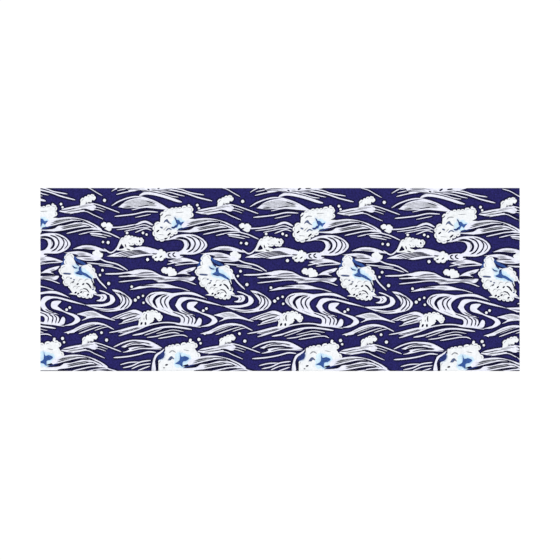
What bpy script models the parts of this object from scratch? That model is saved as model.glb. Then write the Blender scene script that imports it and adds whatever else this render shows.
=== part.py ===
"""Tenugui towel: one open length of narrow-loom plain-weave cotton, dyed right through.

The cloth lies flat and face up. It has a woven selvedge along each long side, where the weft
turns back and the weave is a little thicker, and its two short ends are cut and left unhemmed.

Metres, +Z up. X runs along the length, Y across the width, and the origin is at the middle of
the underside, on the surface that the towel lies on.
"""

import math

import bpy

MM = 0.001

LENGTH = 900 * MM
WIDTH = 343 * MM
CLOTH_THICKNESS = 1.0 * MM

SELVEDGE_WIDTH = 3.0 * MM
SELVEDGE_THICKNESS = 1.2 * MM
SELVEDGE_SHOULDER = 0.6 * MM
SELVEDGE_ARC_STEPS = 6

INDIGO = (0.020, 0.019, 0.090, 1.0)
COTTON_ROUGHNESS = 0.9


def clear_scene():
    """Remove whatever the scene holds, so that the model starts from nothing."""
    for obj in list(bpy.data.objects):
        bpy.data.objects.remove(obj, do_unlink=True)


def dyed_cotton():
    """Matte cotton in the indigo that covers most of the towel."""
    material = bpy.data.materials.new("dyed_cotton")
    material.use_nodes = True
    shader = material.node_tree.nodes["Principled BSDF"]
    shader.inputs["Base Color"].default_value = INDIGO
    shader.inputs["Roughness"].default_value = COTTON_ROUGHNESS
    shader.inputs["Metallic"].default_value = 0.0
    return material


def half_section():
    """The cloth's cross-section from its middle to one selvedge, as (across, up) points.

    It runs along the top: over the flat cloth, up a short shoulder, along the thicker selvedge
    and down its rounded outer edge, where the weft threads turn back, to the flat underside.
    """
    round_radius = SELVEDGE_THICKNESS / 2
    outer = WIDTH / 2
    inner = outer - SELVEDGE_WIDTH
    points = [(inner - SELVEDGE_SHOULDER, CLOTH_THICKNESS), (inner, SELVEDGE_THICKNESS)]
    for step in range(SELVEDGE_ARC_STEPS + 1):
        turn = math.pi * step / SELVEDGE_ARC_STEPS
        across = outer - round_radius + round_radius * math.sin(turn)
        up = round_radius + round_radius * math.cos(turn)
        points.append((across, up))
    return points


def cloth_section():
    """The whole cross-section as one closed ring: the half section and its mirror image."""
    right = half_section()
    left = [(-across, up) for across, up in reversed(right)]
    return right + left


def towel(collection):
    """The cloth: its cross-section as a filled flat outline, run along the full length."""
    outline = bpy.data.curves.new("towel", "CURVE")
    outline.dimensions = "2D"
    outline.fill_mode = "BOTH"
    outline.extrude = LENGTH / 2
    ring = cloth_section()
    spline = outline.splines.new("POLY")
    spline.points.add(len(ring) - 1)
    for point, (across, up) in zip(spline.points, ring):
        point.co = (across, up, 0.0, 1.0)
    spline.use_cyclic_u = True
    outline.materials.append(dyed_cotton())
    cloth = bpy.data.objects.new("towel", outline)
    # The outline is drawn flat and then stood up: its across lies along Y and its up along Z.
    cloth.rotation_euler = (math.pi / 2, 0.0, math.pi / 2)
    collection.objects.link(cloth)
    return cloth


def main():
    clear_scene()
    collection = bpy.data.collections.new("tenugui_towel")
    bpy.context.scene.collection.children.link(collection)
    towel(collection)


main()
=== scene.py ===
"""Tenugui towel, as it looks: thin plain-weave cotton, dyed through with rough sea waves.

The wave pattern is a traditional one. It is drawn here with brush strokes, foam, drops and fans of
fine streams, from a chart of one repeat in the towel's own millimetres: x from the left end, y down
from the top edge. The outlines are then cut into the cloth's mesh, so each dyed edge is crisp.
"""

import math
import random

import bmesh
import bpy
import numpy as np
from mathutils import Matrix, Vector
from mathutils.geometry import delaunay_2d_cdt


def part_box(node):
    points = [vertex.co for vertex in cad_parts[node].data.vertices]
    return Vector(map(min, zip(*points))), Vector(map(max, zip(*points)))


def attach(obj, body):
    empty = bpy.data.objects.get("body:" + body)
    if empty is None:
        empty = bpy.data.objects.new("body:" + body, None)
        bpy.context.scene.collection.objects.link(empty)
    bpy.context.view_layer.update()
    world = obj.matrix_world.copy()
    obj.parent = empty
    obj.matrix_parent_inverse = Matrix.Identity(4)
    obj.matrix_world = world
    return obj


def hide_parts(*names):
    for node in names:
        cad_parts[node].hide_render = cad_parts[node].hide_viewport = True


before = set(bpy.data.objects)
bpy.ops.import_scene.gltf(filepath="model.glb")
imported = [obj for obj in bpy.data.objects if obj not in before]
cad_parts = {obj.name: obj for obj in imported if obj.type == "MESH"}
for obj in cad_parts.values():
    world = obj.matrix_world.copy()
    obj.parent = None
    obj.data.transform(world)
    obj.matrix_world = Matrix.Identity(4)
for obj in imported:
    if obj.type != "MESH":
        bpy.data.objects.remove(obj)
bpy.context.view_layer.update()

MM = 0.001
LOW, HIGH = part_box("towel")
LENGTH = (HIGH.x - LOW.x) / MM
WIDTH = (HIGH.y - LOW.y) / MM

CLOTH_THICKNESS = 0.36
SELVEDGE_THICKNESS = 0.52
SELVEDGE_WIDTH = 3.0
FRINGE = 0.9

YARN_PITCH = 0.5
YARN_RADIUS = 0.13
SEED = 7
SHARP_ANGLE = math.radians(50)

# Linear colours of the dyes as they look on cotton, and how much each is bare cloth.
DYES = {
    "ground": (0.0168, 0.0145, 0.1080),
    "pool": (0.0065, 0.0055, 0.0450),
    "dark": (0.0030, 0.0025, 0.0240),
    "white": (0.800, 0.812, 0.925),
    "foam": (0.828, 0.851, 0.875),
    "shade": (0.300, 0.310, 0.340),
    "slate": (0.080, 0.105, 0.210),
    "navy": (0.020, 0.035, 0.160),
    "blue": (0.036, 0.090, 0.300),
    "sea": (0.028, 0.070, 0.260),
    "halo": (0.640, 0.810, 0.920),
    "wash": (0.180, 0.420, 0.700),
}

# The mesh: even spacing, closer spacing where the blue fades out, and how far it runs.
GRID = 9.0
WELD = 0.002
WASH_STEP = 1.8
WASH_SHIFT = 0.31
WASH_REACH = 5.0
WASH_FADE = 2.2
WASH = 0.35
LIFT = 0.25

SHEEN = 0.08

# How far slubs, mottling and single yarns change the dye's tone, and how much painted shade darkens the weave's
# hollows.
STREAKS = 0.18
MOTTLE = 0.30
YARN_TONE = 0.08
HOLLOW_PAINTED_SHADE = 0.22
MEAN_HEIGHT = 0.52

# Deep dye takes up unevenly, in patches of a few millimetres.
UPTAKE = 2.2
UPTAKE_SCALE = 330.0
WORLD_LIGHT = 0.45
KEY_LIGHT = 2.2
FLOOR_SIZE = 80.0
FLOOR_GAP = 0.00005

# The photograph's frame: its width and the towel's length in pixels, and how far the towel lies above the middle.
PHOTO_WIDTH = 560
TOWEL_PIXELS = 480
TOWEL_RISE = 0.5
LENS = 85.0
SENSOR = 36.0

LEFT = FRINGE
RIGHT = LENGTH - FRINGE


# Brush work


def spline(points, step=1.2):
    """A smooth path through points, with a point about every step."""
    if len(points) == 2:
        (x0, y0), (x1, y1) = points
        n = max(2, math.ceil(math.hypot(x1 - x0, y1 - y0) / step))
        return [(x0 + (x1 - x0) * i / n, y0 + (y1 - y0) * i / n) for i in range(n + 1)]
    first = tuple(2 * a - b for a, b in zip(points[0], points[1]))
    last = tuple(2 * a - b for a, b in zip(points[-1], points[-2]))
    ends = [first, *points, last]
    path = [tuple(points[0])]
    for p0, p1, p2, p3 in zip(ends, ends[1:], ends[2:], ends[3:]):
        gaps = [max(math.dist(a, b), 1e-6) ** 0.5 for a, b in ((p0, p1), (p1, p2), (p2, p3))]
        n = max(2, math.ceil(math.dist(p1, p2) / step))
        m1, m2 = [], []
        for axis in range(2):
            a, b, c, d = p0[axis], p1[axis], p2[axis], p3[axis]
            g0, g1, g2 = gaps
            m1.append(g1 * ((b - a) / g0 - (c - a) / (g0 + g1) + (c - b) / g1))
            m2.append(g1 * ((c - b) / g1 - (d - b) / (g1 + g2) + (d - c) / g2))
        for i in range(1, n + 1):
            t = i / n
            h00, h10 = 2 * t**3 - 3 * t**2 + 1, t**3 - 2 * t**2 + t
            h01, h11 = -2 * t**3 + 3 * t**2, t**3 - t**2
            path.append(tuple(
                h00 * p1[k] + h10 * m1[k] + h01 * p2[k] + h11 * m2[k] for k in range(2)
            ))
    return path


def lengths(path):
    total = [0.0]
    for a, b in zip(path, path[1:]):
        total.append(total[-1] + math.dist(a, b))
    return total


def at_share(path, total, share):
    """The point at that share of the path's length."""
    wanted = share * total[-1]
    for i in range(1, len(path)):
        if total[i] >= wanted or i == len(path) - 1:
            span = total[i] - total[i - 1] or 1e-9
            t = min(1.0, max(0.0, (wanted - total[i - 1]) / span))
            return tuple(path[i - 1][k] + (path[i][k] - path[i - 1][k]) * t for k in range(2))


def resample(path, n):
    total = lengths(path)
    return [at_share(path, total, i / (n - 1)) for i in range(n)]


def thin_out(points, tolerance):
    """Drop the points that a straight line replaces within tolerance."""
    if len(points) < 3:
        return list(points)
    (x0, y0), (x1, y1) = points[0], points[-1]
    run = math.hypot(x1 - x0, y1 - y0)
    worst, at = 0.0, 0
    for i in range(1, len(points) - 1):
        x, y = points[i]
        if run < 1e-9:
            off = math.hypot(x - x0, y - y0)
        else:
            off = abs((x - x0) * (y1 - y0) - (y - y0) * (x1 - x0)) / run
        if off > worst:
            worst, at = off, i
    if worst <= tolerance:
        return [points[0], points[-1]]
    return thin_out(points[: at + 1], tolerance)[:-1] + thin_out(points[at:], tolerance)


TOLERANCE = 0.07


def stroke(path, width, taper=(9.0, 9.0), tip=(0.45, 0.45), swell=0.0):
    """The outline of a brush stroke along path: width wide, thinning over taper at each end to a rounded tip.

    swell thickens it towards the middle of its length, as a share of its width.
    """
    total = lengths(path)
    run = total[-1]
    left, right = [], []
    lead = min(taper[0], run * 0.48)
    tail = min(taper[1], run * 0.48)
    for i, (x, y) in enumerate(path):
        ax, ay = path[max(0, i - 1)]
        bx, by = path[min(len(path) - 1, i + 1)]
        d = math.hypot(bx - ax, by - ay) or 1e-9
        nx, ny = -(by - ay) / d, (bx - ax) / d
        s = total[i]
        share = 1.0
        if s < lead:
            share = tip[0] + (1 - tip[0]) * math.sin(math.pi / 2 * s / lead)
        if run - s < tail:
            share = min(share, tip[1] + (1 - tip[1]) * math.sin(math.pi / 2 * (run - s) / tail))
        half = width / 2 * share * (1 + swell * math.sin(math.pi * s / run))
        left.append((x + nx * half, y + ny * half))
        right.append((x - nx * half, y - ny * half))
    def cap(at, before, near, far):
        """The rounded end beyond path point at, between its two side points."""
        dx, dy = at[0] - before[0], at[1] - before[1]
        d = math.hypot(dx, dy) or 1e-9
        half = math.dist(near, far) / 2
        return (at[0] + dx / d * half * 0.8, at[1] + dy / d * half * 0.8)
    start = cap(path[0], path[1], left[0], right[0])
    end = cap(path[-1], path[-2], left[-1], right[-1])
    left, right = thin_out(left, TOLERANCE), thin_out(right, TOLERANCE)
    return [start, *left, end, *reversed(right)]


def grown(ring, reach):
    """The closed outline moved outward by reach."""
    area = sum(x0 * y1 - x1 * y0 for (x0, y0), (x1, y1) in zip(ring, ring[1:] + ring[:1]))
    out = reach if area > 0 else -reach
    wide = []
    for (ax, ay), (x, y), (bx, by) in zip(ring[-1:] + ring[:-1], ring, ring[1:] + ring[:1]):
        dx, dy = bx - ax, by - ay
        d = math.hypot(dx, dy) or 1e-9
        wide.append((x + dy / d * out, y - dx / d * out))
    return thin_out(wide[: len(wide) // 2 + 1], 0.2)[:-1] + thin_out(wide[len(wide) // 2:] + wide[:1], 0.2)[:-1]


def disc(x, y, radius, sides=None):
    if sides is None:
        sides = max(8, min(20, round(2 * math.pi * radius / 1.15)))
    turn = 2 * math.pi / sides
    return [(x + radius * math.cos(turn * i), y + radius * math.sin(turn * i)) for i in range(sides)]


def bow(start, bulge, end, n=14):
    """A C-shaped path: level at start and end, upright at the bulge."""
    (x0, y0), (xb, yb), (x1, y1) = start, bulge, end
    path = []
    for i in range(n + 1):
        a = math.pi / 2 * i / n
        path.append((x0 + (xb - x0) * math.sin(a), yb + (y0 - yb) * math.cos(a)))
    for i in range(1, n + 1):
        a = math.pi / 2 * i / n
        path.append((x1 + (xb - x1) * math.cos(a), yb + (y1 - yb) * math.sin(a)))
    return path


# The chart of the waves

REPEAT = (265.5, 1.9)
ROW = (3.5, 260.8)

# The print sits closer together towards the left end: how far right it is pushed there, fading out inwards.
LEFT_PUSH = 11.0
PUSH_ENDS = 280.0


def pulled(x, y):
    """Where the cloth's own unevenness carries a charted point."""
    return x + LEFT_PUSH * max(0.0, 1 - x / PUSH_ENDS), y


# How far the ground is darker around each white shape, where the dye gathers, how far the dye has crept
# in under the edges of lines and of filled forms, and how much wider that makes the marks inside them.
POOL = 2.8
CREEP = 0.45
FORM_CREEP = 0.45
WIDER = 0.45

# Foam: each scallop's height as a share of its width, its points, and the faint echo line inside.
SCALLOP = 0.32
SCALLOP_STEPS = 6
ECHO_FROM = 6.5
ECHO_DEPTH = 2.2
ECHO_WIDTH = 0.6
HAND_SEED = 11


class Brush:
    """Collects the dyed shapes in painting order, moved by one whole repeat."""

    def __init__(self, length, width):
        self.shapes = []
        self.pools = []
        self.move = (0.0, 0.0)
        self.hand = random.Random(HAND_SEED)
        self.size = (length, width)

    def add(self, dye, outline, pool=None):
        dx, dy = self.move
        inner = outline
        if dye in ("white", "foam") and not pool:
            inner = grown(outline, -FORM_CREEP)
        ring = [pulled(x + dx, y + dy) for x, y in inner]
        xs = [p[0] for p in ring]
        ys = [p[1] for p in ring]
        if max(xs) > 0 and min(xs) < self.size[0] and max(ys) > 0 and min(ys) < self.size[1]:
            self.shapes.append((dye, ring))
            if dye in ("white", "foam"):
                wide = pool or grown(outline, POOL)
                self.pools.append(("pool", [pulled(x + dx, y + dy) for x, y in wide]))

    def line(self, dye, width, *route, ends=(10, 10), tip=(0.4, 0.4), swell=0.0):
        path = spline(route)
        if dye == "white":
            wide = width + 2 * POOL
            inner = max(width - 2 * CREEP, 0.5 * width)
            self.add(dye, stroke(path, inner, ends, tip, swell), stroke(path, wide, ends, (0.8, 0.8), swell))
        else:
            self.add(dye, stroke(path, width + WIDER, ends, tip, swell))

    def white(self, width, *route, **style):
        self.line("white", width, *route, **style)

    def gap(self, width, *route, ends=(8, 8), tip=(0.15, 0.15), swell=0.0):
        self.line("dark", width, *route, ends=ends, tip=tip, swell=swell)

    def foam(self, *corners, lobe=8.5, dye="foam", echo=True):
        """Foam between corners: its edge swells outward in uneven scallops, each with a faint echo inside.

        A corner is (x, y), or (x, y, the scallops' width on the side that starts there, 0 for a plain side).
        """
        ring = []
        echoes = []
        for here, after in zip(corners, corners[1:] + corners[:1]):
            (x0, y0), (x1, y1) = here[:2], after[:2]
            own = here[2] if len(here) > 2 else lobe
            side = math.hypot(x1 - x0, y1 - y0)
            if not own:
                ring.append((x0, y0))
                continue
            out = ((y1 - y0) / side, -(x1 - x0) / side)
            shares = [self.hand.uniform(0.7, 1.3) for _ in range(max(1, round(side / own)))]
            at = 0.0
            for share in shares:
                wide = share / sum(shares)
                rise = SCALLOP * wide * side
                for i in range(SCALLOP_STEPS):
                    t = i / SCALLOP_STEPS
                    s = at + wide * t
                    lift = rise * math.sqrt(max(0.0, 1 - (2 * t - 1) ** 2))
                    ring.append((x0 + (x1 - x0) * s + out[0] * lift, y0 + (y1 - y0) * s + out[1] * lift))
                if wide * side > ECHO_FROM:
                    arc = []
                    for t in (0.2, 0.5, 0.8):
                        s = at + wide * t
                        lift = rise * 2 * t * (1 - t) - ECHO_DEPTH
                        arc.append((x0 + (x1 - x0) * s + out[0] * lift, y0 + (y1 - y0) * s + out[1] * lift))
                    echoes.append(arc)
                at += wide
        self.add(dye, ring)
        if echo:
            for arc in echoes:
                self.line("shade", ECHO_WIDTH, *arc, ends=(2, 2), tip=(0.3, 0.3))

    def body(self, dye, *points):
        """A filled form with a smooth edge through the points."""
        ring = spline((*points, points[0]))[:-1]
        half = len(ring) // 2
        self.add(dye, thin_out(ring[: half + 1], 0.07)[:-1] + thin_out(ring[half:] + ring[:1], 0.07)[:-1])

    def dot(self, x, y, radius):
        self.add("foam", disc(x, y, radius))

    def fan(self, width, upper, lower, strands, dye="dark", ends=(9, 9), stagger=0.0):
        """Strands spaced evenly between an upper and a lower route."""
        for s in range(strands):
            t = (s + 0.5) / strands
            cut = stagger * ((s * 7) % 3) / 3
            route = [tuple(a[k] + (b[k] - a[k]) * t for k in range(2)) for a, b in zip(upper, lower)]
            path = spline(route)
            n = len(path)
            path = path[int(n * cut): n - int(n * cut * 0.6)]
            self.add(dye, stroke(path, width + WIDER, ends, (0.2, 0.2)))


def top_fan(b):
    """Streams that run down to the right from the foam of the row above."""
    b.body("white", (418, -6), (426, 7), (438, 8), (452, 7), (466, 9), (484, 9), (504, 6), (524, 2), (545, -6), (475, -12))
    b.white(2.6, (403, 14), (424, 9), (449, 6), (464, 8), ends=(8, 12))
    b.white(2.4, (405, 7), (420, 4), (440, 2), ends=(8, 12))
    b.white(2.6, (394, 8), (404, 2), (414, -3))
    b.white(2.0, (410, 1), (424, -2), ends=(5, 5))
    b.gap(1.2, (415, 8), (431, 4), (450, 4))
    b.gap(1.0, (419, 5), (436, 1), (458, 2))
    b.gap(0.9, (428, -1), (455, -2))
    b.white(2.8, (513, 2), (531, 5), (545, 10), (573, 15), ends=(10, 8))
    b.gap(1.4, (515, 5), (531, 7), (547, 13), ends=(12, 10))
    b.white(3.0, (494, 4), (513, 6), (540, 12), (560, 19), (588, 26), ends=(14, 8), swell=0.1)
    b.gap(1.8, (500, 7), (522, 10), (549, 18), ends=(12, 8))
    b.white(2.5, (490, 8), (508, 10), (526, 15), (536, 17))
    b.gap(1.2, (494, 10), (508, 14), (528, 19))
    b.white(2.5, (476, 8), (495, 12), (510, 17), (524, 19))
    b.gap(1.6, (458, 10), (470, 9), (486, 12), (504, 17), (530, 26), ends=(8, 10))
    b.white(5.6, (448, 16), (458, 12), (470, 12), (486, 15), (504, 20), (522, 26), (530, 28), ends=(10, 14))
    b.gap(1.1, (470, 7), (490, 6), (514, 3), ends=(8, 8))
    b.gap(1.1, (440, 7), (456, 6), (466, 8), ends=(8, 4))
    b.line("shade", 1.2, (434, -1), (452, -1), (466, 1), ends=(4, 4))
    b.gap(3.0, (484, 3), (489, 0), ends=(3, 3), tip=(0.8, 0.8))
    b.gap(2.4, (498, 1), (508, 0), ends=(3, 3), tip=(0.6, 0.6))
    b.gap(2.4, (464, 4), (468, 6), ends=(2, 2), tip=(0.6, 0.6))
    b.line("shade", 1.4, (471, 4), (480, 4), ends=(3, 3))


def leaf(b):
    """The long leaf of streams that runs into the big crest from the left."""
    b.body("white", (406, 38), (424, 25), (451, 20), (477, 28), (505, 42), (460, 39), (422, 40))
    b.fan(0.9, ((414, 31), (440, 23), (463, 25), (480, 31)), ((414, 40), (442, 38), (464, 36), (484, 37)), 6,
          ends=(10, 10), stagger=0.16, dye="shade")
    b.white(3.0, (394, 35), (410, 26), (440, 18), (473, 25), (506, 42), ends=(12, 14), swell=0.1)
    b.gap(2.8, (400, 36), (418, 27), ends=(6, 12), tip=(0.6, 0.1))
    b.gap(1.3, (461, 26), (479, 31), ends=(5, 5))
    b.gap(1.5, (445, 37), (467, 34), ends=(6, 6))
    b.gap(1.8, (417, 38), (434, 37), ends=(9, 9))
    b.white(2.5, (433, 43), (459, 38), (499, 41), ends=(10, 14))
    b.body("dark", (438, 49), (455, 41), (480, 41), (498, 43), (474, 43), (450, 46))
    b.white(3.0, (400, 55), (437, 51), (462, 46), (484, 47), ends=(8, 10))
    b.white(2.3, (440, 57), (470, 51))


def streams(b):
    """Four streams that run into the big crest's foot."""
    b.white(3.0, (390, 76), (412, 75), (441, 70), ends=(4, 10))
    b.white(4.6, (440, 71), (459, 65), (474, 71), ends=(12, 9))
    b.white(2.4, (404, 80), (436, 76), (458, 71), (474, 77))
    b.white(2.5, (419, 83), (448, 77), (470, 75), ends=(8, 14))
    b.gap(1.2, (414, 77), (439, 73))
    b.gap(1.2, (430, 80), (445, 75))
    b.white(2.8, (440, 85), (461, 78), (471, 81), ends=(7, 8))


def big_crest(b):
    """The tall breaking crest on the right of the leaf."""
    b.foam((477, 72), (488, 66, 0), (489, 55), (495, 46), (508, 41), (530, 39), (541, 37), (552, 39), (549, 47), (552, 56, 0),
           (545, 59, 0), (556, 60, 0), (557, 69, 0), (524, 78, 0), (523, 84), (515, 88), (508, 92), (498, 98), (487, 100), (478, 93), (476, 82))
    b.gap(1.7, (489, 54), (494, 51), ends=(3, 4), tip=(0.8, 0.2))
    b.line("shade", 1.6, (497, 57), (502, 53), (510, 53), ends=(4, 3))
    b.body("slate", (495, 68), (497, 63), (502, 60), (506, 65), (511, 70), (505, 68), (500, 65))
    b.line("shade", 1.8, (490, 75), (494, 76), ends=(2, 2))
    b.gap(2.4, (482, 84), (486, 81), ends=(1, 1), tip=(0.8, 0.8))
    b.gap(2.6, (503, 91), (509, 86), ends=(2, 2), tip=(0.4, 0.6))
    b.line("slate", 2.6, (489, 75), (493, 77), ends=(1, 1), tip=(0.8, 0.8))
    b.line("slate", 2.0, (500, 82), (505, 78), (511, 80), ends=(3, 3))
    b.gap(2.2, (497, 97), (503, 96), ends=(2, 3), tip=(0.8, 0.3))
    b.foam((517, 62), (523, 59), (532, 62), (537, 69), (530, 76), (520, 76), (512, 71), dye="halo", lobe=7, echo=False)
    b.body("blue", (519, 61), (525, 62), (529, 66), (534, 65), (536, 71), (530, 73), (525, 70), (521, 76), (517, 75), (521, 69))
    b.line("navy", 2.0, (517, 57), (520, 63), (521, 68), ends=(3, 3), tip=(0.7, 0.6))
    b.line("navy", 3.2, (511, 76), (516, 76), (520, 71), ends=(3, 5), tip=(0.7, 0.4))
    b.line("navy", 1.5, (532, 72), (542, 71), ends=(4, 4))
    b.gap(2.4, (523, 79), (538, 77), (556, 70), ends=(5, 4), tip=(0.2, 0.9))
    b.line("shade", 0.8, (519, 48), (534, 47), ends=(5, 5))
    b.line("shade", 0.8, (485, 89), (497, 90), ends=(4, 4))
    b.line("shade", 0.8, (495, 81), (502, 74), ends=(4, 4))
    b.white(2.2, (524, 81), (541, 80), (558, 79))


def crest_back(b):
    """The long back of the big crest, falling away to the right."""
    b.body("white", (270, 63), (285, 59), (311, 56), (333, 59), (354, 66), (375, 80), (366, 83), (345, 76), (320, 78),
           (292, 84), (273, 83), (254, 81), (268, 76), (264, 71))
    b.body("dark", (255, 80), (264, 76), (280, 72), (300, 67), (321, 63), (340, 64), (322, 67), (302, 72), (290, 73), (282, 78), (266, 80))
    b.gap(1.6, (276, 67), (298, 62), (318, 60), (338, 63), (358, 73), ends=(12, 14))
    b.gap(1.3, (274, 71), (292, 66), (314, 61), ends=(8, 10))
    b.gap(1.3, (322, 66), (340, 66), (356, 71), (368, 79), ends=(10, 10))
    b.gap(1.2, (328, 71), (344, 71), (358, 77), ends=(8, 8))
    b.fan(1.2, ((282, 62), (300, 59), (318, 58)), ((278, 69), (296, 66), (312, 63)), 2, dye="shade")
    b.fan(1.3, ((298, 75), (313, 71), (330, 69)), ((295, 80), (311, 77), (336, 73)), 3, dye="shade")
    b.gap(1.2, (294, 76), (314, 72), (338, 68), ends=(8, 8))
    b.gap(1.2, (296, 79), (314, 75), (340, 71), ends=(8, 8))
    b.line("navy", 2.2, (258, 79), (268, 76), (278, 73), ends=(5, 6))
    b.gap(3.4, (277, 85), (294, 84), (311, 81), (328, 78), (345, 76), (360, 76), ends=(12, 20), tip=(0.3, 0.1))
    b.white(2.8, (306, 87), (324, 83), (345, 79), (367, 79), (376, 82), ends=(8, 14))
    b.gap(1.6, (320, 86), (341, 82), (360, 81), (373, 82), ends=(10, 10))
    b.white(2.6, (330, 89), (348, 85), (364, 83), (377, 83), ends=(8, 10))
    b.white(4.4, (352, 87), (364, 88), (376, 89), ends=(6, 8))
    b.gap(0.9, (345, 86), (362, 85), (376, 86), (392, 91))
    b.gap(0.9, (356, 89), (368, 90), (384, 93))
    b.white(2.4, (354, 90), (368, 92), (384, 95), ends=(10, 6))
    b.white(2.2, (376, 89), (385, 91), (393, 93), ends=(5, 5))
    b.white(2.8, (366, 77), (376, 83), (390, 87), (410, 96), ends=(12, 7))


def curl(b):
    """The small curl of foam that stands on its own low back."""
    b.foam((332, 36, 0), (333, 28), (340, 20), (352, 15), (361, 17), (362, 23), (356, 24, 0), (355, 28), (345, 30, 0), (340, 34, 0))
    b.line("shade", 1.6, (343, 28), (346, 29), ends=(2, 2))
    b.gap(1.8, (357, 25), (356, 29), (346, 30), ends=(2, 5))
    b.body("white", (291, 46), (298, 41), (314, 37), (333, 34), (347, 31), (358, 31), (364, 38), (359, 44), (344, 43), (338, 46),
           (322, 49), (304, 49))
    b.gap(1.5, (294, 44), (308, 43), (324, 39), ends=(5, 8))
    b.gap(1.5, (306, 47), (326, 44), (346, 41), ends=(8, 8))
    b.line("shade", 1.2, (316, 42), (334, 38), (348, 36), ends=(8, 8))
    b.line("shade", 1.0, (330, 37), (346, 34), (356, 35), ends=(6, 6))
    b.fan(1.0, ((303, 47), (314, 44), (324, 43)), ((306, 48), (316, 47), (330, 45)), 2, dye="shade")
    b.white(2.2, (312, 50), (332, 46), (345, 46), (358, 52), (377, 60), ends=(8, 7))
    b.gap(2.8, (335, 41), (347, 43), (361, 49), (370, 53), ends=(8, 10), tip=(0.1, 0.2))
    b.white(2.6, (354, 30), (370, 34), (390, 41), (409, 48), ends=(9, 7))
    b.gap(1.3, (357, 33), (371, 36), (384, 41))
    b.white(1.9, (357, 36), (370, 39), (382, 43))
    b.gap(1.2, (358, 39), (370, 42), (378, 45))
    b.white(1.9, (358, 41), (368, 43), (379, 47), ends=(5, 6))


def small_foam(b):
    """The knob of foam at the right end of the crest's back."""
    b.foam((374, 73), (376, 67), (384, 69), (393, 69), (394, 78), (386, 82, 0), (378, 78, 0), lobe=7.5, echo=False)
    b.gap(2.4, (372, 75), (378, 77), (383, 75), ends=(3, 3), tip=(0.3, 0.4))


def drops(b, *where):
    for x, y, radius in where:
        b.dot(x, y, radius)


LOW_DROPS = ((282, 285, 3.0), (298, 284, 3.4), (301, 291, 2.7))
BACK_SHIFT = (8, -3)
ROW_DROPS = ((279, 33, 3.0), (295, 32, 3.0), (298, 38, 2.7), (380, 25, 3.4))
SEA_DROPS = ((424, 86, 3.0), (455, 86, 3.0), (462, 89, 2.7), (377, 103, 2.7), (387, 104, 3.4), (464, 136, 3.4),
             (376, 156, 3.0), (371, 165, 2.7), (388, 181, 3.4), (433, 187, 3.0), (446, 207, 3.0), (440, 212, 3.4),
             (455, 204, 2.7), (456, 217, 2.7), (306, 230, 3.0), (312, 226, 3.0), (374, 273, 3.0), (384, 287, 3.4))


def eye(b):
    """The round eye of curling water under the crest's back, open to the left."""
    b.body("white", (222, 98), (240, 95), (253, 89), (274, 86), (292, 88), (308, 97), (314, 107), (307, 117), (292, 124),
           (274, 125), (253, 122), (265, 116), (270, 107), (266, 99), (251, 96), (240, 98))
    b.gap(4.0, (253, 94), (267, 94), (277, 98), (281, 105), (279, 112), (274, 116), ends=(10, 6), tip=(0.2, 0.2))
    b.gap(2.4, (273, 90), (286, 95), (291, 104), (286, 115), (276, 121), ends=(8, 6))
    b.gap(2.2, (283, 89), (296, 95), (301, 104), (296, 115), (287, 121), ends=(8, 6))
    b.gap(1.4, (296, 93), (306, 101), (308, 108), (301, 117), ends=(6, 6))
    b.line("shade", 0.8, (275, 98), (277, 104), (276, 110), ends=(5, 5))


def ghost_crest(b):
    """The crest that hangs over the eye's right side, its foot drawn out to the left."""
    b.white(3.2, (379, 116), (392, 123), (403, 116), (412, 98), ends=(8, 4), tip=(0.6, 0.8))
    b.foam((403, 119, 0), (411, 99), (425, 91), (437, 94), (455, 97), (454, 105), (446, 109), (439, 105),
           (432, 109, 0), (439, 116, 0), (433, 120, 0), lobe=7)
    b.body("dark", (413, 106), (418, 114), (408, 116))
    b.gap(1.7, (420, 107), (422, 113), ends=(2, 2), tip=(0.4, 0.5))
    b.gap(2.3, (428, 110), (440, 113), ends=(3, 3), tip=(0.4, 0.5))
    b.gap(1.6, (423, 116), (430, 118), ends=(2, 2), tip=(0.5, 0.6))
    b.gap(2.4, (448, 100), (449, 103), ends=(1, 1), tip=(0.8, 0.8))
    b.line("shade", 0.8, (427, 98), (433, 97), ends=(3, 3))
    b.line("shade", 0.8, (426, 103), (430, 107), ends=(3, 3))


def ghost_tail(b):
    """The thick band of streams under that crest, with a burst of foam at its right end."""
    b.body("white", (384, 130), (400, 124), (425, 118), (446, 112), (462, 112), (488, 121), (487, 127), (461, 129), (434, 133),
           (420, 131), (400, 131))
    b.fan(1.5, ((398, 127), (418, 121), (438, 118), (452, 118)), ((422, 132), (440, 128), (456, 126), (474, 126)), 4)
    b.gap(1.9, (472, 125), (487, 126), ends=(4, 6))
    b.foam((485, 122), (488, 117), (494, 120), (500, 127), (496, 134), (486, 137), (476, 134), (473, 129, 0), (481, 126, 0), echo=False)
    b.gap(2.2, (478, 133), (482, 131), ends=(2, 2), tip=(0.6, 0.6))
    b.gap(2.0, (488, 132), (492, 129), ends=(2, 2), tip=(0.6, 0.6))


def knot(b):
    """The little loop between the burst of foam and the eye."""
    b.body("white", (231, 126), (236, 121), (246, 119), (257, 119), (266, 122), (270, 126), (262, 131), (246, 132), (235, 131))
    b.gap(2.2, (243, 122), (239, 124), (240, 128), (245, 130), ends=(2, 4), tip=(0.6, 0.3))
    b.gap(2.0, (252, 121), (248, 124), (249, 127), (254, 129), ends=(2, 3), tip=(0.6, 0.4))
    b.gap(2.8, (262, 126), (273, 126), ends=(2, 5), tip=(0.7, 0.2))


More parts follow.
